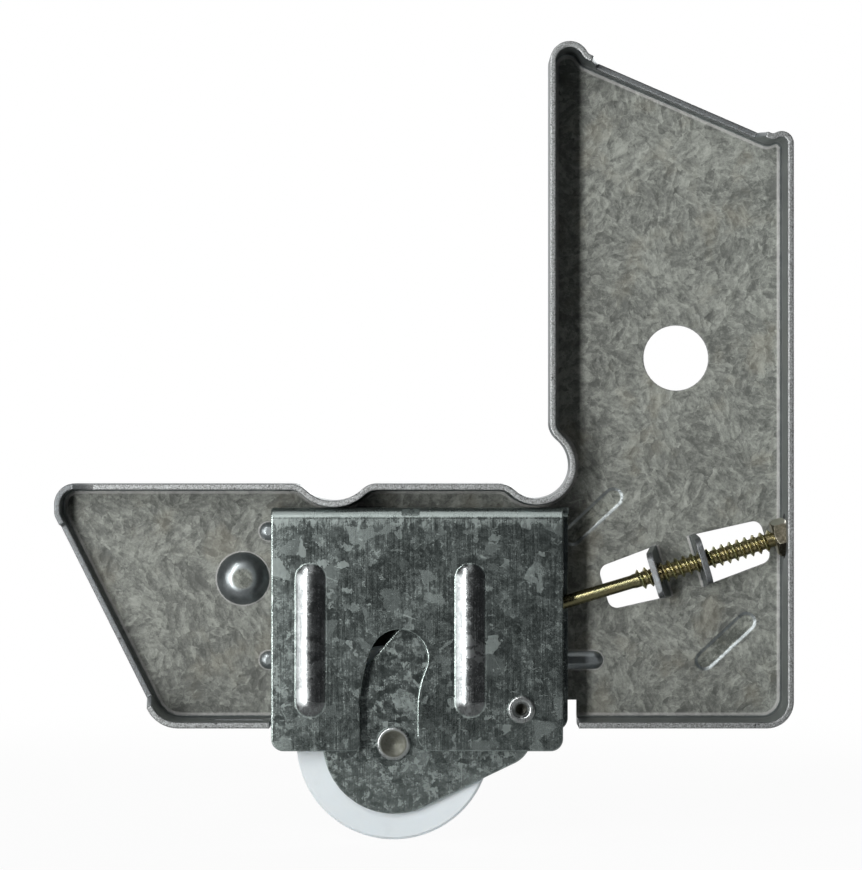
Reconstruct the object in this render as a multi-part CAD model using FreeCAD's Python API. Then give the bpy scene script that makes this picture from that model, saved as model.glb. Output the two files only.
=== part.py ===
import FreeCAD, Part
import math
import os

# Screen door corner roller: an L-shaped tray of folded sheet that slips into the corner of a door
# frame, with a wheel on a swing arm that a screw pushes down.
# Millimetres. X runs along the bottom rail, Z up the stile, and Y from the open front to the back.
# The origin is the centre of the big hole, on the back face of the tray's web.

Vec = FreeCAD.Vector
BACKWARD = Vec(0, 1, 0)

# Sheet
sheet = 1.0                # thickness of the bracket, the housing and the arm
bend = 0.9                 # inside bend radius of the drawn tray
fold = 0.7                 # inside radius of the sharper folds: housing, tabs and arm
depth = 12.0               # height of the full flanges, from the back of the web
edge_round = 0.2           # rounding of the sheared edges
near = 1e-4                # lengths closer than this count as equal

# Corner bracket, plan
hole_radius = 5.4
hole_to_edge = 18.45       # hole centre to the outer edge of the stile flange
stile_width = 39.7         # leg that goes up the stile
rail_top = -20.7           # top edge of the leg that goes along the rail
rail_width = 39.8
rail_reach = 102.5         # hole centre to the far end of the rail leg
rail_slope_start = 5.2     # straight end of the rail leg before its slope starts
rail_slope_inset = 17.3    # how far the sloped end goes in by the bottom edge
stile_slope = 23.45        # degrees of the stile leg's sloped end
stile_slope_height = 42.8  # the sloped end above the big hole
ear_radius = 3.24          # round ear at the inner and highest end of that slope
ear_drop = 2.5             # its centre below the line of the slope
outer_ear_radius = 2.0     # small ear at the outer end
outer_ear_drop = 0.95
ear_root_radius = 0.9
rail_tip_radius = 3.4
rail_slope_radius = 2.2
rail_foot_radius = 5.6
outer_corner_radius = 4.4

# Round relief in the inner corner and the locating dip beside it
relief_radius = 5.4
relief_out = 2.1           # circle centre, outwards from the stile leg's inner edge
relief_up = 3.0            # circle centre, above the rail leg's top edge
dip_radius = 6.5
dip_depth = 2.8
dip_along = 35.2           # dip centre, from the stile leg's inner edge
scallop_round = 3.6        # rounding where these curves meet the straight edges

# Lower flanges on the two sloped ends and at the rail leg's tip
low_flange = 4.2           # height along the slopes, from the back of the web
low_flange_ramp = 1.2      # run of the step at each end
low_flange_margin = 1.0    # distance of the step from the corner beside it
tip_flange = 6.2           # height round the tip, from the back of the web
tip_ramp_start = 3.0       # ramp up to the full flange along the rail's top, from the tip
tip_ramp_end = 7.0

# Raised and pressed forms in the web
dome_radius = 4.6
dome_flat = 2.6
dome_round = 3.0           # shoulder round the flat crown
dome_height = 1.8
dome_along = 71.7          # dome centre, from the big hole
dome_down = 36.5
rib_width = 3.4
rib_height = 0.7
rib_crown = 0.08           # what the flat top takes off the rib's round section
rib_start = 69.2           # rib ends nearest the rail leg's far end, from the big hole
rib_upper_down = 28.7
rib_upper_length = 46.6
rib_lower_down = 50.0
rib_lower_length = 57.3
bead_width = 3.5
bead_depth = 0.3
bead_floor = 0.15          # what the flat floor takes off the bead's round section
bead_length = 9.4          # between the centres of its round ends
bead_tilt = 43.0           # degrees from the rail
bead_upper = (-13.8, -26.3)
bead_lower = (8.2, -46.9)

# Bottom flange: the gap that the housing fills and the narrow slot beside it
gap_edge_up = 3.9          # web edge in the gap, above the flange's outer face
gap_clearance = 0.3        # housing side to flange end
gap_right = 2.6            # housing side to flange end, nearest the stile
flange_slot_length = 9.3
flange_slot_width = 2.0
flange_slot_in = 0.8       # slot end to the end of the flange
flange_slot_height = 6.6   # slot centre from the back of the web

# Roller housing
housing_left = 66.6        # hole centre to the housing's far side
housing_width = 47.5
housing_top = -24.7
housing_height = 39.5
housing_rear_extra = 1.1   # rear plate's extra width
housing_rear_short = 2.7   # rear plate ends this much above the front plate
housing_corner = 2.0
housing_bead_width = 5.0
housing_bead_height = 0.7
housing_bead_length = 25.1
housing_bead_first = 6.4   # bead centres from the housing's far side
housing_bead_second = 32.4
housing_bead_drop = 8.9    # top of the beads below the top of the housing
mark_along = 22.7          # flat mark across the front fold, from the housing's far side
mark_width = 2.8
mark_depth = 0.2

# Swing arm and its pivot
pivot_from_side = 6.8      # pivot centre from the housing's near side
pivot_up = 6.8             # pivot centre above the front plate's bottom edge
swing_radius = 21.6        # pivot to axle
rest_drop = 15.4           # degrees of the axle below the pivot at rest
raise_limit = 40.0         # degrees of swing up from rest
lower_limit = 8.0          # degrees of swing down from rest
slot_half_width = 4.65     # arc slot that the axle's head moves in
slot_end_angle = 22.7      # slot's round end, degrees above the pivot
slot_flare = 2.5
slot_corner = 1.0
arm_back_gap = 0.3         # rear cheek to rear plate
wheel_space = 4.1          # between the cheeks
arm_radius = 11.5          # cheek round the axle
arm_pivot_radius = 4.5     # cheek round the pivot
arm_brow_angle = 49.4      # degrees of the cheek's upper edge from the rail
arm_top_up = 16.3          # top edge of the cheek above the pivot
arm_heel_angle = 60.0      # degrees of the cheek's edge below the pivot
arm_chin_angle = 25.6      # degrees of the cheek's lower edge
arm_heel_radius = 5.0
arm_brow_radius = 3.0
bridge_start = 9.0         # bridge ends, from the pivot
bridge_end = 18.0

# Rivets
pivot_radius = 2.0
pivot_tenon = 1.6
pivot_roll = 2.27          # rolled end in front
pivot_roll_height = 0.5
pivot_roll_round = 0.35
pivot_bore = 0.9
pivot_bore_depth = 2.4
pivot_head_radius = 2.6
pivot_head = 0.5
spacer_radius = 3.2
axle_radius = 2.0
axle_tenon = 1.6
axle_head_radius = 2.75
axle_head = 1.0
axle_dish = 0.45
axle_rim = 0.75            # width of the rim round the dish
axle_head_round = 0.35
axle_tail_radius = 2.4
axle_tail = 0.8
running = 0.06             # radial clearance of what turns
side_play = 0.1            # end clearance of what turns

# Wheel
wheel_radius = 15.875
wheel_rim_relief = 0.2     # rim narrower than the hub, each side
wheel_hub_radius = 4.2
wheel_groove_width = 1.8
wheel_groove_depth = 0.8
wheel_edge = 0.4

# Adjusting screw, its windows and its tabs
screw_angle = 16.7         # degrees from the rail
screw_cross = -39.8        # height of the axis where it crosses the line below
screw_cross_from_hole = 17.26
screw_height = 4.7         # axis above the front face of the web
screw_radius = 1.75
screw_tip_radius = 1.1
screw_tip_gap = 0.25       # tip to bridge at mid swing
ratio_share = 0.75         # where the travel's line lies between the lever at mid swing and its mean
thread_start = 10.56       # along the axis from the crossing point
thread_end = 34.5
head_across = 5.5          # hexagon across flats
head_height = 2.6
head_turn = 22.0           # degrees of a corner from the back, about the axis
head_chamfer = 0.5
head_clearance = 0.43      # radial, in the access hole
tab_first = 16.4           # fold lines along the axis
tab_second = 21.0
tab_first_bend = 80.0      # degrees that each tab is folded up
tab_second_bend = 89.0
tab_length = 9.0           # along the sheet, from the fold line
tab_base_half = 4.4
tab_taper = 4.0            # degrees that each side of the tabs and windows goes in
tab_corner = 1.6
window_first = 10.8        # lengths of the windows from the fold lines
window_second = 12.6
tab_hole_clearance = 0.08

# Stack of the layers from the back to the front, as distances from the back of the web
web_front = sheet
rear_plate_back = web_front + rib_height
rear_plate_front = rear_plate_back + sheet
arm_back = rear_plate_front + arm_back_gap
arm_depth = wheel_space + 2 * sheet
arm_front = arm_back + arm_depth
front_plate_back = depth - sheet
screw_level = web_front + screw_height

# Places that several pieces share
stile_inner = hole_to_edge - stile_width
rail_bottom = rail_top - rail_width
stile_fall = math.tan(math.radians(stile_slope))
outer_ear = Vec(hole_to_edge - outer_ear_radius, 0, stile_slope_height - outer_ear_drop)
outer_ear.z -= outer_ear.x * stile_fall
inner_ear = Vec(stile_inner + ear_radius, 0, stile_slope_height - ear_drop)
inner_ear.z -= inner_ear.x * stile_fall
housing_right = housing_width - housing_left
housing_bottom = housing_top - housing_height
pivot = Vec(housing_right - pivot_from_side, 0, housing_bottom + pivot_up)
rest_angle = math.radians(180 + rest_drop)
axle = pivot + Vec(math.cos(rest_angle), 0, math.sin(rest_angle)) * swing_radius
screw_start = Vec(-screw_cross_from_hole, 0, screw_cross)
screw_along = Vec(math.cos(math.radians(screw_angle)), 0, math.sin(math.radians(screw_angle)))
screw_across = Vec(-screw_along.z, 0, screw_along.x)
head_corner = head_across / math.sqrt(3)
screw_lever = (screw_start - pivot).dot(screw_across)
mid_swing = math.radians((raise_limit - lower_limit) / 2)
swing_travel = math.radians((raise_limit + lower_limit) / 2)
# Screw travel for each radian of swing, as the straight line that stays closest to the push face
screw_ratio = screw_lever * (1 + ratio_share * (math.tan(swing_travel) / swing_travel - 1))


def rounded_face(corners):
    """Flat face in the plane Y = 0 from (x, z, radius) corners."""
    arcs = []
    for index, (x, z, radius) in enumerate(corners):
        here = Vec(x, 0, z)
        last = corners[index - 1]
        following = corners[(index + 1) % len(corners)]
        back = (Vec(last[0], 0, last[1]) - here).normalize()
        ahead = (Vec(following[0], 0, following[1]) - here).normalize()
        half = back.getAngle(ahead) / 2
        reach = radius / math.tan(half)
        middle = here + (back + ahead).normalize() * (radius / math.sin(half) - radius)
        arcs.append((here + back * reach, middle, here + ahead * reach))
    edges = []
    for index, (start, middle, end) in enumerate(arcs):
        if start.distanceToPoint(end) > near:
            edges.append(Part.Arc(start, middle, end).toShape())
        next_start = arcs[(index + 1) % len(arcs)][0]
        if end.distanceToPoint(next_start) > near:
            edges.append(Part.LineSegment(end, next_start).toShape())
    return Part.Face(Part.Wire(edges))


def plate(face, back, front):
    """Solid of a flat face between two distances from the back of the web."""
    moved = face.copy()
    moved.translate(Vec(0, -back, 0))
    return moved.extrude(Vec(0, back - front, 0))


def rod(centre, radius, back, front):
    """Round bar along Y between two distances from the back of the web."""
    return Part.makeCylinder(radius, front - back, Vec(centre.x, -front, centre.z), BACKWARD)


def turned(centre, profile):
    """Turned piece about an axis along Y, from (radius, distance from the back) points."""
    points = [Vec(radius, -level, 0) for radius, level in profile]
    outline = Part.Face(Part.makePolygon(points + points[:1]))
    solid = outline.revolve(Vec(0, 0, 0), BACKWARD, 360)
    solid.translate(Vec(centre.x, 0, centre.z))
    return solid


def edges_along_y(shape, spots):
    """Edges along Y that stand at the given places of the plan."""
    found = []
    for edge in shape.Edges:
        first, last = edge.Vertexes[0].Point, edge.Vertexes[-1].Point
        if abs(first.y - last.y) < sheet / 2:
            continue
        if any(math.hypot(first.x - spot.x, first.z - spot.z) < sheet / 10 for spot in spots):
            found.append(edge)
    return found


def edges_at_level(shape, level):
    """Edges that lie at one distance from the back of the web."""
    return [edge for edge in shape.Edges if all(abs(v.Point.y + level) < near for v in edge.Vertexes)]


def rounded(solid, level, radius):
    """Solid with the edges at one distance from the back of the web rounded."""
    return solid.makeFillet(radius, edges_at_level(solid, level))


def capsule(first, last, radius, level):
    """Round-ended bar between two places of the plan, its axis at a distance from the back."""
    start = Vec(first.x, -level, first.z)
    end = Vec(last.x, -level, last.z)
    bar = Part.makeCylinder(radius, start.distanceToPoint(end), start, end - start)
    return bar.fuse([Part.makeSphere(radius, start), Part.makeSphere(radius, end)])


def slab(back, front):
    """Everything of the part between two distances from the back of the web."""
    size = 4 * rail_reach
    return Part.makeBox(size, front - back, size, Vec(-size / 2, -front, -size / 2))


def swell_radius(width, height):
    """Radius of a round swelling with this chord and height."""
    return (width * width / 4 + height * height) / (2 * height)


def raise_bead(body, first, last, width, height, back, crown=None):
    """Press a round-ended bead towards the front out of a sheet whose back lies at one level."""
    radius = swell_radius(width, height)
    axis = back + sheet + height - radius
    top = back + sheet + (crown or height)
    hump = capsule(first, last, radius, axis).common(slab(back, top))
    hollow = capsule(first, last, radius - sheet, axis).common(slab(back - sheet, top - sheet))
    return body.fuse(hump).cut(hollow)


def press_bead(body, first, last, width, height, back, floor):
    """Press a flat-floored bead towards the back out of a sheet whose back lies at one level."""
    radius = swell_radius(width, height)
    axis = back + sheet - height + radius
    hump = capsule(first, last, radius + sheet, axis).common(slab(back - floor, back + sheet))
    hollow = capsule(first, last, radius, axis).common(slab(back + sheet - floor, back + 2 * sheet))
    return body.fuse(hump).cut(hollow)


def meeting(point, along, centre, radius, side):
    """Place where a line meets a circle; side is 1 for the further one and -1 for the nearer."""
    offset = point - centre
    middle = offset.dot(along)
    half = math.sqrt(middle * middle - offset.dot(offset) + radius * radius)
    return point + along * (side * half - middle)


def stile_slope_ends():
    """Ends of the stile leg's sloped edge, where it leaves the outer and the inner ear."""
    angle = math.radians(stile_slope)
    along = Vec(-math.cos(angle), 0, math.sin(angle))
    middle = Vec(0, 0, stile_slope_height)
    low = meeting(middle, along, outer_ear, outer_ear_radius, 1)
    high = meeting(middle, along, inner_ear, ear_radius, -1)
    return low, high


def bracket_outline():
    """Plan of the tray: the L with its ears, the round relief and the locating dip."""
    corners = [
        (hole_to_edge, rail_bottom, outer_corner_radius),
        (hole_to_edge, outer_ear.z, 0),
        (outer_ear.x, outer_ear.z, 0),
        (outer_ear.x, outer_ear.z + outer_ear_drop, 0),
        (inner_ear.x, inner_ear.z + ear_drop, 0),
        (inner_ear.x, inner_ear.z, 0),
        (stile_inner, inner_ear.z, 0),
        (stile_inner, rail_top, 0),
        (-rail_reach, rail_top, rail_tip_radius),
        (-rail_reach, rail_top - rail_slope_start, rail_slope_radius),
        (rail_slope_inset - rail_reach, rail_bottom, rail_foot_radius),
    ]
    relief = Vec(stile_inner - relief_out, 0, rail_top + relief_up)
    dip = Vec(stile_inner - dip_along, 0, rail_top - dip_depth + dip_radius)
    inner_corner = Vec(stile_inner, 0, rail_top)
    rail_along = Vec(-1, 0, 0)
    scallops = [
        meeting(inner_corner, rail_along, relief, relief_radius, 1),
        meeting(inner_corner, Vec(0, 0, 1), relief, relief_radius, 1),
        meeting(inner_corner, rail_along, dip, dip_radius, -1),
        meeting(inner_corner, rail_along, dip, dip_radius, 1),
    ]
    block = plate(rounded_face(corners), 0, depth)
    ears = [rod(outer_ear, outer_ear_radius, 0, depth), rod(inner_ear, ear_radius, 0, depth)]
    block = block.fuse(ears).cut([rod(relief, relief_radius, 0, depth), rod(dip, dip_radius, 0, depth)])
    block = block.removeSplitter()
    block = block.makeFillet(scallop_round, edges_along_y(block, scallops))
    block = block.makeFillet(ear_root_radius, edges_along_y(block, stile_slope_ends()))
    return next(face for face in block.Faces if len(edges_at_level(face, 0)) == len(face.Edges))


def bracket_tray():
    """The drawn tray: web, bends and flanges, all at full height."""
    outline = bracket_outline()
    outer = plate(outline, 0, depth)
    inner = plate(outline.makeOffset2D(-sheet), web_front, depth + sheet)
    return rounded(outer, 0, bend + sheet).cut(rounded(inner, web_front, bend))


def low_flange_cut(start, end):
    """Cutter that lowers the flange along a sloped end, with a ramp at each end."""
    along = (end - start).normalize()
    across = Vec(along.z, 0, -along.x)
    lid = depth + sheet
    ramp_to_lid = low_flange_ramp * (lid - low_flange) / (depth - low_flange)
    floor_in = along * (low_flange_margin + low_flange_ramp)
    lid_in = floor_in - along * ramp_to_lid
    profile = [
        start + floor_in - BACKWARD * low_flange,
        end - floor_in - BACKWARD * low_flange,
        end - lid_in - BACKWARD * lid,
        start + lid_in - BACKWARD * lid,
    ]
    wall = Part.Face(Part.makePolygon(profile + profile[:1]))
    wall.translate(across * (-2 * sheet))
    return wall.extrude(across * (4 * sheet))


def tip_flange_cut():
    """Cutter that lowers the flange round the rail leg's tip, with a ramp along the rail's top."""
    lid = depth + sheet
    ramp_to_lid = (tip_ramp_end - tip_ramp_start) * (lid - tip_flange) / (depth - tip_flange)
    profile = [
        Vec(-sheet, -tip_flange, 0),
        Vec(tip_ramp_start, -tip_flange, 0),
        Vec(tip_ramp_start + ramp_to_lid, -lid, 0),
        Vec(-sheet, -lid, 0),
    ]
    wall = Part.Face(Part.makePolygon(profile + profile[:1]))
    wall.translate(Vec(-rail_reach, 0, rail_top + sheet))
    return wall.extrude(Vec(0, 0, -2 * rail_slope_start))


def dome():
    """Round dome with a flat crown, pressed towards the front."""
    outer = Part.makeCone(dome_radius, dome_flat, dome_height)
    slope = math.atan2(dome_height, dome_radius - dome_flat)
    shift = sheet * math.tan(slope / 2)
    inner = Part.makeCone(dome_radius - shift, dome_flat - shift, dome_height)
    place = FreeCAD.Placement(Vec(-dome_along, -web_front, -dome_down), FreeCAD.Rotation(Vec(1, 0, 0), 90))
    outer.Placement = place
    inner.Placement = place
    inner.translate(Vec(0, sheet, 0))
    return rounded(outer, web_front + dome_height, dome_round), inner


def screw_frame(along):
    """Placement on the screw's axis: X along the screw, Y to the back, Z across in the plan."""
    place = screw_start + screw_along * along
    turn = FreeCAD.Rotation(Vec(0, 1, 0), -screw_angle)
    return FreeCAD.Placement(Vec(place.x, -screw_level, place.z), turn)


def tapered_half(length):
    """Half width of a tab or window at a distance from its fold line."""
    return tab_base_half - length * math.tan(math.radians(tab_taper))


def window_cut(along, side, length):
    """Window beside a fold line; side is 1 towards the screw's head and -1 towards its tip."""
    end_half = tapered_half(length)
    outline = rounded_face([
        (0, -tab_base_half, 0),
        (length, -end_half, tab_corner),
        (length, end_half, tab_corner),
        (0, tab_base_half, 0),
    ])
    cutter = plate(outline, -screw_height - 2 * sheet, sheet - screw_height)
    cutter = cutter.mirror(Vec(0, 0, 0), Vec(1, 0, 0)) if side < 0 else cutter
    cutter.Placement = screw_frame(along).multiply(cutter.Placement)
    return cutter


def folded_tab(along, side, bend_angle):
    """Tab folded up out of the web at a fold line."""
    angle = math.radians(bend_angle)
    straight = tab_length - (fold + sheet / 2) * angle
    centre = Vec(0, screw_height - fold, 0)

    def spot(radius, turn):
        return centre + Vec(math.sin(turn), math.cos(turn), 0) * radius

    run = Vec(math.cos(angle), -math.sin(angle), 0) * straight
    inside = [spot(fold, 0), spot(fold, angle / 2), spot(fold, angle)]
    outside = [spot(fold + sheet, 0), spot(fold + sheet, angle / 2), spot(fold + sheet, angle)]
    edges = [
        Part.Arc(*inside).toShape(),
        Part.LineSegment(inside[2], inside[2] + run).toShape(),
        Part.LineSegment(inside[2] + run, outside[2] + run).toShape(),
        Part.LineSegment(outside[2] + run, outside[2]).toShape(),
        Part.Arc(outside[2], outside[1], outside[0]).toShape(),
        Part.LineSegment(outside[0], inside[0]).toShape(),
    ]
    section = Part.Face(Part.Wire(edges))
    section.translate(Vec(0, 0, -tab_base_half))
    strip = section.extrude(Vec(0, 0, 2 * tab_base_half))
    rise = fold - fold * math.cos(angle) + straight * math.sin(angle)
    end_half = tapered_half(tab_length)
    taper = rounded_face([
        (screw_height + sheet, -tab_base_half, 0),
        (screw_height, -tab_base_half, 0),
        (screw_height - rise, -end_half, tab_corner),
        (screw_height - rise, end_half, tab_corner),
        (screw_height, tab_base_half, 0),
        (screw_height + sheet, tab_base_half, 0),
    ])
    taper.rotate(Vec(0, 0, 0), Vec(0, 0, 1), 90)
    taper.translate(Vec(-tab_length, 0, 0))
    strip = strip.common(taper.extrude(Vec(2 * tab_length, 0, 0)))
    strip = strip.mirror(Vec(0, 0, 0), Vec(1, 0, 0)) if side < 0 else strip
    strip.Placement = screw_frame(along).multiply(strip.Placement)
    return strip


def screw_bore(radius, first, last):
    """Round cutter along the screw's axis."""
    bore = Part.makeCylinder(radius, last - first, Vec(first, 0, 0), Vec(1, 0, 0))
    bore.Placement = screw_frame(0)
    return bore


def corner_bracket():
    body = bracket_tray()
    rail_tip = Vec(-rail_reach, 0, rail_top - rail_slope_start)
    rail_foot = Vec(rail_slope_inset - rail_reach, 0, rail_bottom)
    rail_foot += (rail_tip - rail_foot).normalize() * (rail_foot_radius / 2)
    lowered = [low_flange_cut(*stile_slope_ends()), low_flange_cut(rail_tip, rail_foot), tip_flange_cut()]
    body = body.cut(lowered)
    body = body.removeSplitter()
    rim = [edge for edge in body.Edges if all(v.Point.y < near - low_flange for v in edge.Vertexes)]
    body = body.makeFillet(edge_round, rim)

    gap_left = -housing_left - gap_clearance
    gap_width = housing_right + gap_right - gap_left
    gap_height = 2 * gap_edge_up
    gap_corner = Vec(gap_left, -depth - sheet, rail_bottom + gap_edge_up - gap_height)
    gap = Part.makeBox(gap_width, depth + 2 * sheet, gap_height, gap_corner)
    slot_right = gap_left - flange_slot_in - flange_slot_width / 2
    slot_left = slot_right - flange_slot_length + flange_slot_width
    slot_ends = [Vec(x, -flange_slot_height, rail_bottom - sheet) for x in (slot_left, slot_right)]
    slot = [Part.makeCylinder(flange_slot_width / 2, 3 * sheet, end) for end in slot_ends]
    slot_box = Part.makeBox(
        slot_right - slot_left, flange_slot_width, 3 * sheet, slot_ends[0] - Vec(0, flange_slot_width / 2, 0)
    )
    body = body.cut([gap, slot_box] + slot)

    dome_outer, dome_inner = dome()
    body = body.fuse(dome_outer).cut(dome_inner)
    for down, length in ((rib_upper_down, rib_upper_length), (rib_lower_down, rib_lower_length)):
        first = Vec(-rib_start + rib_width / 2, 0, -down)
        last = first + Vec(length - rib_width, 0, 0)
        body = raise_bead(body, first, last, rib_width, rib_height + rib_crown, 0, rib_height)
    tilt = math.radians(bead_tilt)
    half_bead = Vec(math.cos(tilt), 0, math.sin(tilt)) * (bead_length / 2)
    for x, z in (bead_upper, bead_lower):
        ends = [Vec(x, 0, z) - half_bead, Vec(x, 0, z) + half_bead]
        body = press_bead(body, *ends, bead_width, bead_depth + bead_floor, 0, bead_depth)

    body = body.cut(rod(Vec(0, 0, 0), hole_radius, -sheet, 2 * sheet))
    body = body.cut([window_cut(tab_first, -1, window_first), window_cut(tab_second, 1, window_second)])
    body = body.fuse([folded_tab(tab_first, -1, tab_first_bend), folded_tab(tab_second, 1, tab_second_bend)])
    bore_radius = screw_radius + tab_hole_clearance
    thread_bore = screw_bore(bore_radius, tab_first - tab_length, tab_second + tab_length)
    access = screw_bore(head_corner + head_clearance, thread_end, thread_end + 2 * tab_length)
    return body.cut([thread_bore, access]).removeSplitter()


def housing_slot():
    """Arc slot about the pivot for the head of the axle, straight and flared below the pivot."""
    inner = swing_radius - slot_half_width
    outer = swing_radius + slot_half_width
    angle = math.radians(180 - slot_end_angle)
    end = pivot + Vec(math.cos(angle), 0, math.sin(angle)) * swing_radius
    ring = rod(pivot, outer, 0, depth + sheet).cut(rod(pivot, inner, 0, depth + sheet))
    reach = 2 * outer
    wedge_points = [
        pivot,
        pivot + Vec(-reach, 0, 0),
        pivot + Vec(-reach, 0, reach * math.tan(math.radians(slot_end_angle))),
    ]
    wedge = plate(Part.Face(Part.makePolygon(wedge_points + wedge_points[:1])), 0, depth + sheet)
    left = pivot.x - outer
    right = pivot.x - inner
    foot = rounded_face([
        (left - slot_corner, housing_bottom - slot_flare, 0),
        (left - slot_corner, housing_bottom, 0),
        (left, housing_bottom, slot_corner),
        (left, pivot.z, 0),
        (right, pivot.z, 0),
        (right, housing_bottom, slot_flare),
        (right + 2 * slot_flare, housing_bottom, 0),
        (right + 2 * slot_flare, housing_bottom - slot_flare, 0),
    ])
    return [ring.common(wedge), rod(end, slot_half_width, 0, depth + sheet), plate(foot, 0, depth + sheet)]


def roller_housing():
    outside = fold + sheet
    back, front = -rear_plate_back, -depth
    low = housing_bottom
    top = housing_top
    section_outer = rounded_face([
        (back, low, 0),
        (back, top, outside),
        (front, top, outside),
        (front, low, 0),
    ])
    section_inner = rounded_face([
        (back - sheet, low - sheet, 0),
        (back - sheet, top - sheet, fold),
        (front + sheet, top - sheet, fold),
        (front + sheet, low - sheet, 0),
    ])
    section = section_outer.cut(section_inner)
    section.rotate(Vec(0, 0, 0), Vec(0, 0, 1), 90)
    section.translate(Vec(-housing_left, 0, 0))
    body = section.extrude(Vec(housing_width + housing_rear_extra, 0, 0))

    middle = (rear_plate_front + front_plate_back) / 2
    front_face = rounded_face([
        (-housing_left, low, housing_corner),
        (housing_right, low, housing_corner),
        (housing_right, top, 0),
        (-housing_left, top, 0),
    ])
    rear_face = rounded_face([
        (-housing_left, low + housing_rear_short, housing_corner),
        (housing_right + housing_rear_extra, low + housing_rear_short, housing_corner),
        (housing_right + housing_rear_extra, top, 0),
        (-housing_left, top, 0),
    ])
    body = body.common(plate(rear_face, 0, middle).fuse(plate(front_face, middle, depth)))
    body = body.cut(housing_slot()).removeSplitter()
    fold_start = top - outside - near
    outline = [
        edge for edge in edges_at_level(body, depth) if min(v.Point.z for v in edge.Vertexes) < fold_start
    ]
    body = body.makeFillet(edge_round, outline)
    bead_top = top - housing_bead_drop - housing_bead_width / 2
    bead_low = top - housing_bead_drop - housing_bead_length + housing_bead_width / 2
    for along in (housing_bead_first, housing_bead_second):
        ends = [Vec(along - housing_left, 0, bead_low), Vec(along - housing_left, 0, bead_top)]
        body = raise_bead(body, *ends, housing_bead_width, housing_bead_height, front_plate_back)
    mark = Part.makeBox(mark_width, outside, 2 * outside, Vec(-mark_width / 2, -outside, -outside))
    mark.rotate(Vec(0, 0, 0), Vec(1, 0, 0), -45)
    fold_axis = Vec(mark_along - housing_left, outside - depth, top - outside)
    mark.translate(fold_axis + Vec(0, -1, 1).normalize() * (outside - mark_depth))
    return body.cut([mark, rod(pivot, pivot_tenon, 0, depth + sheet)]).removeSplitter()


def pivot_rivet():
    roll_top = depth + pivot_roll_height
    body = turned(pivot, [
        (0, rear_plate_back - pivot_head),
        (pivot_head_radius, rear_plate_back - pivot_head),
        (pivot_head_radius, rear_plate_back),
        (pivot_tenon, rear_plate_back),
        (pivot_tenon, rear_plate_front),
        (pivot_radius, rear_plate_front),
        (pivot_radius, front_plate_back),
        (pivot_tenon, front_plate_back),
        (pivot_tenon, depth),
        (pivot_roll, depth),
        (pivot_roll, roll_top),
        (pivot_bore + pivot_roll_height, roll_top),
        (pivot_bore, depth),
        (pivot_bore, depth - pivot_bore_depth),
        (0, depth - pivot_bore_depth - pivot_bore / 2),
    ])
    return rounded(body, roll_top, pivot_roll_round)


def pivot_spacer():
    return turned(pivot, [
        (pivot_radius + running, arm_front + side_play),
        (spacer_radius, arm_front + side_play),
        (spacer_radius, front_plate_back - side_play),
        (pivot_radius + running, front_plate_back - side_play),
    ])


def arm_outline():
    """Cheek of the swing arm, without the bridge and its folds."""
    chin = math.radians(arm_chin_angle)
    heel = math.radians(arm_heel_angle)
    brow = math.radians(arm_brow_angle)
    push = math.radians(90 + screw_angle) + mid_swing
    push_along = Vec(math.cos(push), 0, math.sin(push))
    push_out = Vec(push_along.z, 0, -push_along.x)
    chin_along = Vec(math.cos(chin), 0, math.sin(chin))
    heel_along = Vec(math.cos(heel), 0, math.sin(heel))
    brow_along = Vec(math.cos(brow), 0, math.sin(brow))
    chin_touch = axle + Vec(chin_along.z, 0, -chin_along.x) * arm_radius
    heel_touch = pivot + Vec(heel_along.z, 0, -heel_along.x) * arm_pivot_radius
    brow_touch = axle + Vec(-brow_along.z, 0, brow_along.x) * arm_radius
    offset = heel_touch - chin_touch
    reach = (offset.x * heel_along.z - offset.z * heel_along.x) / (
        chin_along.x * heel_along.z - chin_along.z * heel_along.x
    )
    heel_corner = chin_touch + chin_along * reach
    top = pivot.z + arm_top_up
    brow_corner = brow_touch + brow_along * ((top - brow_touch.z) / brow_along.z)
    bridge_low = pivot + push_along * bridge_start - push_out * (fold + sheet)
    bridge_high = pivot + push_along * bridge_end - push_out * (fold + sheet)
    body_corners = [
        (axle.x, axle.z, 0),
        (chin_touch.x, chin_touch.z, 0),
        (heel_corner.x, heel_corner.z, arm_heel_radius),
        (heel_touch.x, heel_touch.z, 0),
        (pivot.x, pivot.z, 0),
        (bridge_low.x, bridge_low.z, 0),
        (bridge_high.x, bridge_high.z, 0),
        (brow_corner.x, brow_corner.z, arm_brow_radius),
        (brow_touch.x, brow_touch.z, 0),
    ]
    return body_corners, push_along, push_out


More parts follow.
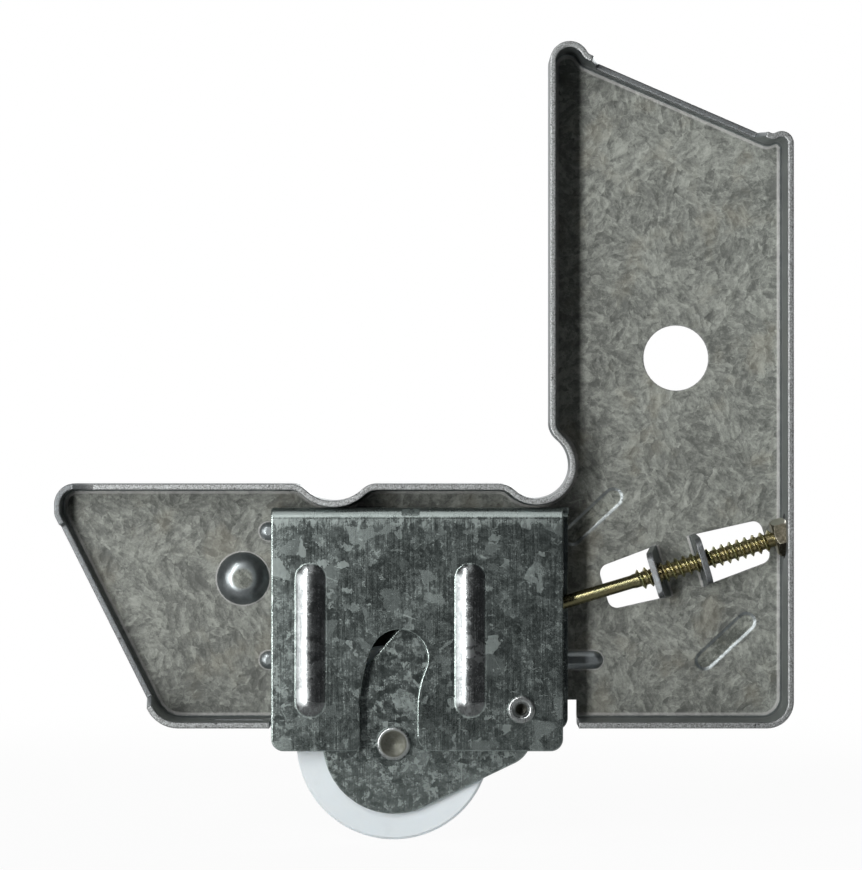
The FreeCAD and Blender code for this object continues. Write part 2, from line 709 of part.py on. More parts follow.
def swing_arm():
    corners, push_along, push_out = arm_outline()
    cheek_face = rounded_face(corners)
    cheeks = []
    for back in (arm_back, arm_front - sheet):
        front = back + sheet
        cheeks.append(plate(cheek_face, back, front))
        cheeks.append(rod(axle, arm_radius, back, front))
        cheeks.append(rod(pivot, arm_pivot_radius, back, front))
    leg = fold + sheet
    outer = rounded_face([(-leg, arm_back, 0), (0, arm_back, leg), (0, arm_front, leg), (-leg, arm_front, 0)])
    inner = rounded_face([
        (-leg - sheet, arm_back + sheet, 0),
        (-sheet, arm_back + sheet, fold),
        (-sheet, arm_front - sheet, fold),
        (-leg - sheet, arm_front - sheet, 0),
    ])
    channel = outer.cut(inner).extrude(Vec(0, bridge_end - bridge_start, 0))
    frame = FreeCAD.Matrix()
    start = pivot + push_along * bridge_start
    frame.A11, frame.A31 = push_out.x, push_out.z
    frame.A12, frame.A22, frame.A32 = push_along.x, 0, push_along.z
    frame.A23, frame.A33 = -1, 0
    frame.A14, frame.A34 = start.x, start.z
    channel.Placement = FreeCAD.Placement(frame)
    holes = [rod(pivot, pivot_radius + running, 0, depth), rod(axle, axle_tenon, 0, depth)]
    body = channel.fuse(cheeks).cut(holes).removeSplitter()
    return rounded(body, arm_front, edge_round)


def axle_rivet():
    front = arm_front
    head_top = front + axle_head
    tail_end = arm_back - axle_tail
    body = turned(axle, [
        (0, tail_end),
        (axle_tail_radius, tail_end),
        (axle_tail_radius, arm_back),
        (axle_tenon, arm_back),
        (axle_tenon, arm_back + sheet),
        (axle_radius, arm_back + sheet),
        (axle_radius, front - sheet),
        (axle_tenon, front - sheet),
        (axle_tenon, front),
        (axle_head_radius, front),
        (axle_head_radius, head_top),
        (axle_head_radius - axle_rim, head_top),
        (0, head_top - axle_dish),
    ])
    return rounded(rounded(body, head_top, axle_head_round), tail_end, axle_head_round)


def wheel():
    middle = arm_back + arm_depth / 2
    hub = wheel_space / 2 - side_play
    rim = hub - wheel_rim_relief
    groove = wheel_groove_width / 2
    half = [
        (axle_radius + running, hub),
        (wheel_hub_radius, hub),
        (wheel_hub_radius + wheel_rim_relief, rim),
        (wheel_radius - wheel_edge, rim),
        (wheel_radius, rim - wheel_edge),
        (wheel_radius, groove),
        (wheel_radius - wheel_groove_depth, groove - wheel_groove_depth / 2),
    ]
    front = [(radius, middle + level) for radius, level in half]
    back = [(radius, middle - level) for radius, level in reversed(half)]
    return turned(axle, front + back)


def adjusting_screw():
    foot = (pivot - screw_start).dot(screw_along)
    tip = foot - screw_ratio * mid_swing + screw_tip_gap
    ball = tip + screw_tip_radius
    shank = Part.makeCylinder(screw_tip_radius, thread_start - ball, Vec(ball, 0, 0), Vec(1, 0, 0))
    nose = Part.makeSphere(screw_tip_radius, Vec(ball, 0, 0))
    thread = Part.makeCylinder(screw_radius, thread_end - thread_start, Vec(thread_start, 0, 0), Vec(1, 0, 0))
    turns = [math.radians(head_turn + 60 * side) for side in range(6)]
    hexagon = [Vec(thread_end, head_corner * math.cos(turn), head_corner * math.sin(turn)) for turn in turns]
    head = Part.Face(Part.makePolygon(hexagon + hexagon[:1])).extrude(Vec(head_height, 0, 0))
    crown_radius = head_corner - head_chamfer
    head_base = Vec(thread_end, 0, 0)
    crown = Part.makeCone(crown_radius + head_height, crown_radius, head_height, head_base, Vec(1, 0, 0))
    body = shank.fuse([nose, thread, head.common(crown)])
    body.Placement = screw_frame(0)
    return body.removeSplitter()


PIECES = {
    "corner_bracket": corner_bracket,
    "roller_housing": roller_housing,
    "pivot_rivet": pivot_rivet,
    "pivot_spacer": pivot_spacer,
    "swing_arm": swing_arm,
    "axle_rivet": axle_rivet,
    "wheel": wheel,
    "adjusting_screw": adjusting_screw,
}

os.makedirs("parts", exist_ok=True)
for name, make in PIECES.items():
    solid = make()
    print(name, solid.ShapeType, solid.isValid(), len(solid.Solids), round(solid.Volume, 2))
    solid.exportStep(f"parts/{name}.step")
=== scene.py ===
import bmesh
import bpy
import math
from mathutils import Matrix, Vector


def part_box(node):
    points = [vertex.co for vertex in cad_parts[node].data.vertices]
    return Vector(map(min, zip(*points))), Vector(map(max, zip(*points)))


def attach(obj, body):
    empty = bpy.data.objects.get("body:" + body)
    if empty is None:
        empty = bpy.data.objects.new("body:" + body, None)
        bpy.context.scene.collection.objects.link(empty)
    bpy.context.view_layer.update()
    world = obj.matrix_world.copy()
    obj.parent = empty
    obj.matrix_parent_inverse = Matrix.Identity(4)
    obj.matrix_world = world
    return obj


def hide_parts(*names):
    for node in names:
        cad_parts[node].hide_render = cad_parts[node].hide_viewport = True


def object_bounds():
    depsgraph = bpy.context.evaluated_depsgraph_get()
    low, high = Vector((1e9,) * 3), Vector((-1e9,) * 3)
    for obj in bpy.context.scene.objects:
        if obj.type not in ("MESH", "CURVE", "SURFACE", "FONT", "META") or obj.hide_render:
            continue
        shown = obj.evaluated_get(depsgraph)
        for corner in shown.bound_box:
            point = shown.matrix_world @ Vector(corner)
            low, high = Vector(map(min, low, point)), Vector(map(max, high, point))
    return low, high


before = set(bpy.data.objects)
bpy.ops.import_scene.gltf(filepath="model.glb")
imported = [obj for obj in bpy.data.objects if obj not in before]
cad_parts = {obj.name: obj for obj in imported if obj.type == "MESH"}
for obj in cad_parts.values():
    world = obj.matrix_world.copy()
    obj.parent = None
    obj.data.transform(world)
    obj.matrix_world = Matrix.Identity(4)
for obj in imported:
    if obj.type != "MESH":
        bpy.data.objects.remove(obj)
cad_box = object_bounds()

MM = 0.001

# Adjusting screw: lengths along its axis from the point where its line is set
SCREW_PLACE = Vector((-17.26, -5.7, -39.8)) * MM
SCREW_ANGLE = math.radians(16.7)
SCREW_AXIS = (math.cos(SCREW_ANGLE), 0, math.sin(SCREW_ANGLE))
SCREW_TIP = -17.287 * MM
TIP_RADIUS = 1.1 * MM
THREAD_START = 10.56 * MM
THREAD_END = 34.5 * MM
THREAD_PITCH = 1.32 * MM
THREAD_CREST = 1.75 * MM
THREAD_ROOT = 1.2 * MM
THREAD_SUNK = THREAD_ROOT - 0.12 * MM  # foot of the ridge, inside the root cylinder
THREAD_FADE = 0.7 * THREAD_PITCH
THREAD_STEPS = 36  # to a turn
HALF_FOOT = 0.49 * MM
HALF_CREST = 0.06 * MM
HEAD_ACROSS = 5.5 * MM
HEAD_CORNER = HEAD_ACROSS / math.sqrt(3)
HEAD_CROWN = HEAD_CORNER - 0.52 * MM
HEAD_HEIGHT = 2.6 * MM
HEAD_TURN = math.radians(16)


def middle(node):
    low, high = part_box(node)
    return (low + high) / 2


# Places of the solids that the finishes follow
PIVOT = middle("pivot_spacer")
AXLE = middle("wheel")
WEB_FRONT = -1.0 * MM
FLANGE_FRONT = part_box("corner_bracket")[0].y
HOUSING_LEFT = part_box("roller_housing")[0].x
HOUSING_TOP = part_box("roller_housing")[1].z
FOLD_LOW = HOUSING_TOP - 1.7 * MM
RUN_LENGTH = 4.5 * MM  # runs of zinc below the fold
BEAD_MIDDLES = [HOUSING_LEFT + along * MM for along in (6.4, 32.4)]
BEAD_LEVEL = HOUSING_TOP - 21.45 * MM
BEAD_HALF = 10.05 * MM
BEAD_RADIUS = 2.5 * MM
DOME = Vector((-71.7, 0, -36.5)) * MM

# Studio
FLOOR_LEVEL = cad_box[0].z - 0.6 * MM
FLOOR_AHEAD = 0.12  # floor in front of the object
FLOOR_HALF = 4.0
CAMERA_PLACE = (-0.04059, -0.6, -0.012755)
CAMERA_LENS = 149.64
CAMERA_SENSOR = 36.0


class Reading:
    """A shader value. Python sums on it add Math nodes to its finish."""

    def __init__(self, finish, socket):
        self.finish = finish
        self.socket = socket

    def maths(self, operation, *values):
        return self.finish.node("ShaderNodeMath", {"operation": operation}, dict(enumerate(values)))

    def __add__(self, other):
        return self.maths("ADD", self, other)

    def __radd__(self, other):
        return self.maths("ADD", other, self)

    def __sub__(self, other):
        return self.maths("SUBTRACT", self, other)

    def __rsub__(self, other):
        return self.maths("SUBTRACT", other, self)

    def __mul__(self, other):
        return self.maths("MULTIPLY", self, other)

    def __rmul__(self, other):
        return self.maths("MULTIPLY", other, self)

    def __abs__(self):
        return self.maths("ABSOLUTE", self)

    def most(self, other):
        return self.maths("MAXIMUM", self, other)

    def step(self, low, high):
        """0 at low, 1 at high, eased between; low may be the larger."""
        return self.finish.node(
            "ShaderNodeMapRange",
            {"interpolation_type": "SMOOTHSTEP"},
            {"Value": self, "From Min": low, "From Max": high},
        )


class Finish:
    """One material, built from nodes on the piece's own coordinates. Scales are per metre."""

    def __init__(self, name):
        self.material = bpy.data.materials.new(name)
        self.material.use_nodes = True
        self.start(self.material.node_tree, "ShaderNodeOutputMaterial")

    def start(self, tree, output):
        self.tree = tree
        self.tree.nodes.clear()
        self.output = self.tree.nodes.new(output)

    def node(self, kind, settings=None, sockets=None, out=0):
        """Any node: its settings come first, then its sockets' values or links."""
        made = self.tree.nodes.new(kind)
        for name, value in (settings or {}).items():
            setattr(made, name, value)
        for key, value in (sockets or {}).items():
            if isinstance(value, Reading):
                self.tree.links.new(value.socket, made.inputs[key])
            else:
                made.inputs[key].default_value = value
        return Reading(self, made.outputs[out])

    def place(self):
        return self.node("ShaderNodeTexCoord", out="Object")

    def axes(self, vector):
        parts = self.node("ShaderNodeSeparateXYZ", {}, {0: vector}).socket.node
        return [Reading(self, output) for output in parts.outputs]

    def facing(self):
        """The surface's direction along the piece's own axes."""
        return self.axes(self.node("ShaderNodeTexCoord", out="Normal"))

    def vector(self, operation, *vectors):
        """A vector made from vectors."""
        settings = {"operation": operation}
        return self.node("ShaderNodeVectorMath", settings, dict(enumerate(vectors)))

    def measured(self, operation, *vectors):
        """A plain value made from vectors: a length, a distance or a dot product."""
        settings = {"operation": operation}
        return self.node("ShaderNodeVectorMath", settings, dict(enumerate(vectors)), "Value")

    def across(self, x, z):
        """Length of a step in the plane of the front."""
        return self.measured("LENGTH", self.node("ShaderNodeCombineXYZ", {}, {0: x, 2: z}))

    def from_axis(self, centre):
        """Distance from an axis that runs front to back."""
        x, _, z = self.axes(self.place())
        return self.across(x - centre.x, z - centre.z)

    def stretched(self, vector, scale, shift=(0, 0, 0)):
        sockets = {"Vector": vector, "Scale": scale, "Location": shift}
        return self.node("ShaderNodeMapping", {}, sockets)

    def shifted(self, vector, shift):
        return self.stretched(vector, (1, 1, 1), shift)

    def turned(self, vector, angle):
        sockets = {"Vector": vector, "Angle": angle}
        return self.node("ShaderNodeVectorRotate", {"rotation_type": "Y_AXIS"}, sockets)

    def noise(self, vector, scale, detail=3.0, rough=0.55, swirl=0.0, out="Fac"):
        sockets = {"Vector": vector, "Scale": scale, "Detail": detail}
        sockets |= {"Roughness": rough, "Distortion": swirl}
        return self.node("ShaderNodeTexNoise", {}, sockets, out)

    def rings(self, radius, scale):
        """Fine rings: a noise along the radius alone."""
        return self.noise(self.node("ShaderNodeCombineXYZ", {}, {0: radius * scale}), 1.0, 2.0)

    def warped(self, vector, scale, reach):
        """The coordinates pushed about by a noise, for ragged outlines."""
        push = self.noise(vector, scale, 2.0, out="Color")
        return self.vector("MULTIPLY_ADD", push, (reach,) * 3, vector)

    def voronoi(self, feature, vector, scale):
        sockets = {"Vector": vector, "Scale": scale}
        return self.node("ShaderNodeTexVoronoi", {"feature": feature}, sockets)

    def cells(self, vector, scale):
        """Three random values for each crystal, and the distance from its middle."""
        cell = self.voronoi("F1", vector, scale)
        colour = Reading(self, cell.socket.node.outputs["Color"])
        parts = self.node("ShaderNodeSeparateColor", {}, {0: colour}).socket.node
        return [Reading(self, output) for output in parts.outputs] + [cell]

    def scratches(self, vector, *angles):
        """Sparse fine scratches in a few directions, in patches."""
        total = 0.0
        for angle in angles:
            along = self.stretched(self.turned(vector, angle), (4200, 4200, 60))
            patch = self.noise(self.shifted(vector, (angle, angle, 0)), 130, 2.0)
            total = total + self.noise(along, 1.0, 1.0).step(0.70, 0.78) * patch.step(0.54, 0.64)
        return total

    def blend(self, share, first, second):
        sockets = {0: share, 6: first, 7: second}
        return self.node("ShaderNodeMix", {"data_type": "RGBA"}, sockets, 2)

    def edges(self, radius):
        """The surface's direction with its edges rounded, and the share of wear along them."""
        rounded = self.node("ShaderNodeBevel", {"samples": 4}, {"Radius": radius})
        plain = self.node("ShaderNodeNewGeometry", out="Normal")
        return rounded, self.measured("DOT_PRODUCT", rounded, plain).step(0.99, 0.80)

    def bump(self, height, reach, **rounded):
        sockets = {"Strength": 1.0, "Distance": reach, "Height": height, **rounded}
        return self.node("ShaderNodeBump", {}, sockets)

    def show(self, shader):
        self.tree.links.new(shader.socket, self.output.inputs["Surface"])

    def surface(self, **sockets):
        names = {key.replace("_", " ").title(): value for key, value in sockets.items()}
        self.show(self.node("ShaderNodeBsdfPrincipled", {}, names))
        return self.material


def grey(level, warmth=0.0):
    """A grey with a touch of warmth, or of blue below zero."""
    return (level * (1 + warmth), level, level * (1 - warmth), 1)


def housing_marks(zinc, at, mottle, grain):
    """What makes the housing paler: painted highlights on its left edge, on the fold and along the
    bead outlines, and runs of zinc.

    Gives that, and 1 on the pressed beads.
    """
    x, _, z = zinc.axes(zinc.place())
    # Painted highlight: the strip along the housing's left edge, which faces the key lamp, is made
    # paler.
    scuffs_and_sheen = x.step(HOUSING_LEFT + 4.5 * MM, HOUSING_LEFT + 1.5 * MM)
    below = (FOLD_LOW - z) * (1 / RUN_LENGTH)
    runs = zinc.noise(zinc.stretched(at, (1000, 1000, 110)), 1.0, 4.0, 0.65)
    wet = (1.7 * runs - 0.55 - below).step(0.0, 0.22) * below.step(-0.02, 0.02)
    # Painted highlight: the fold above FOLD_LOW is made paler, as the lamp above would light it.
    fold_highlight = below.step(-0.02, -0.1)
    share = 0.16 * scuffs_and_sheen * (0.4 + 1.2 * mottle)
    share = share + 0.30 * wet * (0.4 + mottle) + 0.5 * fold_highlight * (0.5 + grain)
    pressed = 0.0
    for middle_x in BEAD_MIDDLES:
        rise = abs(z - BEAD_LEVEL) - BEAD_HALF
        away = zinc.across(x - middle_x, rise.most(0))
        # Painted highlight: a pale line along each bead's outline, where its rounded crease catches
        # the light.
        outline_highlight = abs(away - BEAD_RADIUS).step(0.2 * MM, 0.05 * MM)
        share = share + 0.4 * outline_highlight * (0.2 + mottle)
        pressed = pressed + away.step(BEAD_RADIUS, BEAD_RADIUS - 0.4 * MM)
    return share, pressed


def spangled_zinc(name, shift, housing):
    """Galvanised sheet: dark zinc with brush lines, flat pale crystals, flecks and scratches."""
    zinc = Finish(name)
    at = zinc.shifted(zinc.place(), shift)
    mottle = zinc.noise(at, 1100, 6.0, 0.72, 0.3)
    grain = zinc.noise(at, 4200, 3.0, 0.7)
    cloud = zinc.noise(at, 140, 2.0)
    lines = zinc.noise(zinc.stretched(at, (5600, 5600, 120)), 1.0, 3.0, 0.65)
    edged = zinc.warped(zinc.warped(at, 900, 0.8 * MM), 3300, 0.25 * MM)
    rounded, worn = zinc.edges(0.16 * MM)
    tone, rank, gloss, _ = zinc.cells(edged, 330)
    small_tone, small_rank, _, _ = zinc.cells(zinc.warped(edged, 1600, 1.2 * MM), 700)
    flecks = zinc.noise(zinc.stretched(at, (1000, 1000, 1700)), 1.0, 5.0, 0.74, 0.6)
    flecks = flecks.step(0.57, 0.65) * zinc.noise(at, 420, 2.0).step(0.40, 0.62)
    scratches = zinc.scratches(at, 0.5, -0.75, 1.2)

    share = 0.22 + (mottle - 0.5) + (lines - 0.5) + 0.9 * (grain - 0.5) + 0.3 * (cloud - 0.5)
    share = share + 0.36 * (small_tone - 0.5) * small_rank.step(0.2, 0.6)
    share = share + 0.75 * small_rank.step(0.88, 0.91) * (0.34 + 0.34 * small_tone - share)
    share = share + 0.8 * rank.step(0.84, 0.87) * (0.33 + 0.32 * tone - share)
    share = share + 0.5 * flecks + 0.28 * scratches + 0.4 * worn
    if housing:
        # The housing's marks include painted highlights on its left edge, fold and bead outlines.
        marks, pressed = housing_marks(zinc, at, mottle, grain)
        share = share + marks
    else:
        pressed = 0.0
        scales, scales_rank, _, _ = zinc.cells(edged, 1050)
        share = share + 0.6 * (scales - 0.5) * scales_rank.step(0.1, 0.7)
        share = share + 0.05 + 0.7 * (mottle - 0.5)
    pale = share.step(-0.15, 0.95)
    colour = zinc.blend(pale, (0.175, 0.205, 0.196, 1), (0.46, 0.52, 0.50, 1))
    bead = zinc.blend(pale, grey(0.12, -0.02), grey(0.34, -0.02))
    colour = zinc.blend(0.8 * pressed, colour, bead)
    rough = 0.165 + 0.135 * pale + 0.03 * gloss + 0.02 * pressed
    relief = 0.6 * mottle + 0.4 * zinc.noise(at, 380, 2.0) + 0.2 * lines
    dents = zinc.bump(relief, 0.014 * MM, Normal=rounded)
    return zinc.surface(base_color=colour, roughness=rough, metallic=0.95, normal=dents)


def weathered_sheet(zinc, at, wavy, mottle, fine):
    """Colour and relief of the flat sheet: strokes and flakes laid in crystals, cracks, marks."""
    tone, _, way, _ = zinc.cells(zinc.warped(at, 450, 3 * MM), 190)
    laid = zinc.turned(wavy, way * math.pi)
    strokes = zinc.noise(zinc.stretched(laid, (1200, 700, 420)), 1.0, 5.0, 0.62)
    flat = zinc.stretched(laid, (1.0, 1.0, 0.55))
    flakes = 720
    flake, _, _, hump = zinc.cells(flat, flakes)
    seams = zinc.voronoi("DISTANCE_TO_EDGE", flat, flakes)
    cloud = zinc.noise(at, 60, 2.0)
    cracks = zinc.noise(wavy, 700, 4.0, 0.66).step(0.38, 0.30)
    marks = zinc.scratches(wavy, 0.85, -0.5, 0.2)
    for centre in ((0.06, 0, 0.03), (-0.15, 0, 0.06), (-0.03, 0, -0.2)):
        arcs = zinc.rings(zinc.measured("DISTANCE", at, centre), 3800).step(0.69, 0.74)
        patch = zinc.noise(zinc.shifted(at, centre), 170, 2.0).step(0.56, 0.66)
        marks = marks + arcs * patch

    share = 0.38 + 1.4 * (strokes - 0.5) + 0.15 * (tone - 0.5) + 0.25 * (flake - 0.5)
    share = share + (mottle - 0.5) + (fine - 0.5) + 0.4 * (cloud - 0.5)
    share = share + 0.25 * marks - 0.25 * cracks
    share = share + 0.22 * seams.step(0.07, 0.01) * mottle.step(0.46, 0.60)
    dark, light = (0.054, 0.060, 0.051, 1), (0.262, 0.278, 0.245, 1)
    colour = zinc.blend(share.step(-0.05, 1.0), dark, light)
    stain = zinc.noise(wavy, 110, 4.0, 0.6).step(0.52, 0.68)
    colour = zinc.blend(0.28 * stain, colour, (0.185, 0.165, 0.11, 1))
    return colour, hump + 0.4 * strokes + 0.3 * mottle + 0.08 * fine - 0.15 * cracks


def drawn_zinc(name):
    """The tray's weathered sheet, polished where it was drawn, with a sheared rim."""
    zinc = Finish(name)
    at = zinc.place()
    y = zinc.axes(at)[1]
    ahead = (WEB_FRONT - y) * (1 / MM)  # millimetres in front of the web
    rounded, worn = zinc.edges(0.32 * MM)
    wavy = zinc.warped(at, 900, 0.6 * MM)
    mottle = zinc.noise(wavy, 620, 5.0, 0.66, 0.3)
    fine = zinc.noise(at, 2400, 4.0, 0.75)
    colour, relief = weathered_sheet(zinc, at, wavy, mottle, fine)
    # Painted highlight: a thin pale line in the first 0.3 mm in front of the web, along the feet of
    # walls, bends, ribs and dome.
    foot = ahead.step(-0.01, 0.03) * ahead.step(0.30, 0.12)
    colour = zinc.blend(0.5 * foot, colour, grey(0.45, 0.02))

    raised = ahead.step(0.06, 0.4) * zinc.from_axis(DOME).step(1.4 * MM, 2.0 * MM)
    pressed = ahead.step(-0.015, -0.07) * ahead.step(-0.27, -0.23)
    wall = ahead.step(2.2, 2.6)
    rim = wall * zinc.facing()[1].step(-0.15, -0.40)
    drawn = raised.most(0.8 * pressed) * (1 - rim)
    dark, light = (0.15, 0.17, 0.18, 1), (0.36, 0.39, 0.40, 1)
    colour = zinc.blend(drawn * 0.85, colour, zinc.blend(0.7 * mottle + 0.3 * fine, dark, light))

    grit = zinc.noise(at, 3600, 4.0, 0.75)
    pits = zinc.noise(at, 1300, 3.0, 0.7).step(0.36, 0.30)
    # Painted shade: rims lying further back than the flange front are made darker than the
    # full-height rims.
    high_rim_light = y.step(FLANGE_FRONT + 3.0 * MM, FLANGE_FRONT + 0.5 * MM)
    bright = zinc.blend(high_rim_light, (0.17, 0.19, 0.20, 1), (0.42, 0.44, 0.44, 1))
    sheared = zinc.blend(grit.step(0.3, 0.7), grey(0.10, 0.03), bright)
    colour = zinc.blend(rim, colour, zinc.blend(pits, sheared, grey(0.05)))
    colour = zinc.blend((0.5 + 0.35 * rim) * worn * (0.4 + mottle), colour, grey(0.55, -0.03))
    rough = 0.58 + 0.12 * (mottle - 0.5) - 0.26 * drawn + 0.12 * wall * drawn - 0.16 * rim
    smooth = ahead.step(0.03, 0.2)
    dents = zinc.bump(relief * (1 - smooth) + 0.15 * rim * grit, 0.15 * MM, Normal=rounded)
    metal = 0.25 + 0.65 * drawn + 0.5 * rim
    return zinc.surface(base_color=colour, roughness=rough, metallic=metal, normal=dents)


def turned_steel(name, centre, level, dull_inside):
    """Bright zinc on a rivet, with rings from the tool about its axis and a dull brown middle."""
    steel = Finish(name)
    radius = steel.from_axis(centre)
    rings = steel.rings(radius, 5200)
    marks = steel.noise(steel.place(), 1500, 5.0, 0.65)
    light = (level * 0.92, level, level * 0.98, 1)
    pale = (0.7 * rings + 0.5 * marks - 0.1).step(0.15, 0.9)
    colour = steel.blend(pale, grey(level * 0.45), light)
    dull = radius.step(dull_inside, dull_inside - 0.4 * MM)
    brown = steel.blend(rings, (0.042, 0.043, 0.035, 1), (0.125, 0.127, 0.102, 1))
    colour = steel.blend(dull * (0.75 + 0.4 * marks), colour, brown)
    dents = steel.bump(0.5 * rings + 0.4 * marks, 0.04 * MM)
    rough = 0.22 + 0.12 * marks + 0.22 * dull
    return steel.surface(base_color=colour, roughness=rough, metallic=0.92, normal=dents)


def moulded_nylon(name):
    """Cool white nylon with faint mould rings and a little grime."""
    nylon = Finish(name)
    at = nylon.place()
    rings = nylon.rings(nylon.from_axis(AXLE), 2600)
    grime = nylon.noise(at, 260, 5.0, 0.6).step(0.52, 0.75)
    clean, dirty = (0.80, 0.855, 0.88, 1), (0.69, 0.74, 0.765, 1)
    return nylon.surface(
        base_color=nylon.blend(0.25 * rings + 0.35 * grime, clean, dirty),
        roughness=0.38 + 0.12 * grime,
        normal=nylon.bump(0.4 * rings + 0.3 * nylon.noise(at, 1800, 3.0), 0.03 * MM),
        subsurface_weight=0.25,
        subsurface_radius=(0.9, 1.0, 1.1),
        subsurface_scale=1.2 * MM,
    )


def yellow_zinc(name):
    """Yellow zinc on the screw: gold and olive in the thread, painted shade in its roots and on the
    shank, and a dark head with painted highlights on its upward facets.
    """
    gold = Finish(name)
    at = gold.place()
    from_place = gold.vector("SUBTRACT", at, SCREW_PLACE)
    radius = gold.measured("LENGTH", gold.vector("CROSS_PRODUCT", from_place, SCREW_AXIS))
    along = gold.measured("DOT_PRODUCT", from_place, SCREW_AXIS)
    tint = gold.noise(at, 420, 3.0, 0.5, 0.5)
    marks = gold.noise(at, 2400, 4.0, 0.65)
    rounded, worn = gold.edges(0.14 * MM)
    threaded = along.step(THREAD_START, THREAD_START + MM)
    head = along.step(THREAD_END - 0.1 * MM, THREAD_END + 0.1 * MM)

    colour = gold.blend(tint.step(0.35, 0.65), (0.46, 0.40, 0.20, 1), (0.35, 0.36, 0.19, 1))
    colour = gold.blend(0.45 * marks.step(0.45, 0.75), colour, (0.56, 0.49, 0.33, 1))
    # Painted shade: the thread's roots are darkened.
    root_shade = threaded * radius.step(THREAD_ROOT + 0.18 * MM, THREAD_ROOT) * (0.5 + 0.5 * marks)
    colour = gold.blend(root_shade, colour, (0.20, 0.165, 0.085, 1))
    # Painted shade: the smooth shank and tip are darkened, as if they lay in shadow.
    colour = gold.blend(0.75 * (1 - threaded), colour, (0.12, 0.112, 0.06, 1))
    dark, light = (0.05, 0.045, 0.035, 1), (0.135, 0.125, 0.10, 1)
    scuffs_and_sheen = gold.blend(marks.step(0.35, 0.7), dark, light)
    # Painted highlight: the head's upward-facing facets are made paler, as if they reflected light
    # from above; the darker head colour under it holds scuffs.
    upward_sheen = gold.facing()[2].step(0.6, 0.85)
    scuffs_and_sheen = gold.blend(upward_sheen, scuffs_and_sheen, (0.62, 0.62, 0.54, 1))
    colour = gold.blend(head * 0.95, colour, scuffs_and_sheen)
    colour = gold.blend(head * worn, colour, (0.55, 0.52, 0.42, 1))
    rough = 0.2 + 0.12 * marks + 0.1 * head
    relief = 0.25 * marks + 0.2 * tint + 0.6 * head * marks
    dents = gold.bump(relief, 0.06 * MM, Normal=rounded)
    return gold.surface(base_color=colour, roughness=rough, metallic=0.95, normal=dents)


def finish_mesh(name, shape, smooth_angle=40):
    """Makes a bmesh a piece: merged, facing outwards, and smooth but for its corners."""
    bmesh.ops.remove_doubles(shape, verts=shape.verts, dist=1e-7)
    bmesh.ops.recalc_face_normals(shape, faces=shape.faces)
    for face in shape.faces:
        face.smooth = True
    for edge in shape.edges:
        edge.smooth = edge.calc_face_angle(0) < math.radians(smooth_angle)
    mesh = bpy.data.meshes.new(name)
    shape.to_mesh(mesh)
    shape.free()
    piece = bpy.data.objects.new(name, mesh)
    bpy.context.scene.collection.objects.link(piece)
    return piece


def from_screw_axis(spot):
    return math.hypot(spot.co.y, spot.co.z)


def set_radius(spot, radius):
    """Moves a corner to a radius from the screw's axis, which is X until the screw is placed."""
    share = radius / from_screw_axis(spot)
    spot.co.y *= share
    spot.co.z *= share


def screw_core(shape):
    """Ball-ended smooth tip and the thread's root cylinder, turned as one."""
    ball = SCREW_TIP + TIP_RADIUS
    arc = [math.radians(step * 11.25) for step in range(9)]
    profile = [(ball - TIP_RADIUS * math.cos(turn), TIP_RADIUS * math.sin(turn)) for turn in arc]
    profile += [
        (THREAD_START - 0.5 * MM, TIP_RADIUS),
        (THREAD_START, THREAD_ROOT),
        (THREAD_END + 0.2 * MM, THREAD_ROOT),
        (THREAD_END + 0.2 * MM, 0),
    ]
    spots = [shape.verts.new((along, radius, 0)) for along, radius in profile]
    edges = [shape.edges.new(pair) for pair in zip(spots, spots[1:])]
    bmesh.ops.spin(
        shape,
        geom=spots + edges,
        cent=(0, 0, 0),
        axis=(1, 0, 0),
        angle=math.tau,
        steps=48,
        use_merge=True,
    )


def screw_thread(shape):
    """One helical ridge, spun from its section and faded out at both ends."""
    start = THREAD_START + HALF_FOOT
    section = [(start - HALF_FOOT, THREAD_SUNK), (start - HALF_CREST, THREAD_CREST)]
    section += [(start + HALF_CREST, THREAD_CREST), (start + HALF_FOOT, THREAD_SUNK)]
    core = set(shape.verts)
    spots = [shape.verts.new((along, radius, 0)) for along, radius in section]
    turns = (THREAD_END - THREAD_START - 2 * HALF_FOOT) / THREAD_PITCH
    steps = int(turns * THREAD_STEPS)
    bmesh.ops.spin(
        shape,
        geom=[shape.faces.new(spots)],
        cent=(0, 0, 0),
        axis=(1, 0, 0),
        dvec=(THREAD_PITCH / THREAD_STEPS, 0, 0),
        angle=math.tau * steps / THREAD_STEPS,
        steps=steps,
    )
    for spot in set(shape.verts) - core:
        from_end = THREAD_END - spot.co.x + 0.5 * THREAD_FADE
        share = min(spot.co.x - THREAD_START, from_end) / THREAD_FADE
        share = max(0.0, min(1.0, share))
        set_radius(spot, THREAD_SUNK + (from_screw_axis(spot) - THREAD_SUNK) * share)


def extruded(shape, face, keep):
    """Extrudes a face in place; keep leaves the first one there too. Gives the new face."""
    made = bmesh.ops.extrude_face_region(shape, geom=[face], use_keep_orig=keep)
    if not keep:
        bmesh.ops.delete(shape, geom=[face], context="FACES_ONLY")
    return next(item for item in made["geom"] if isinstance(item, bmesh.types.BMFace))


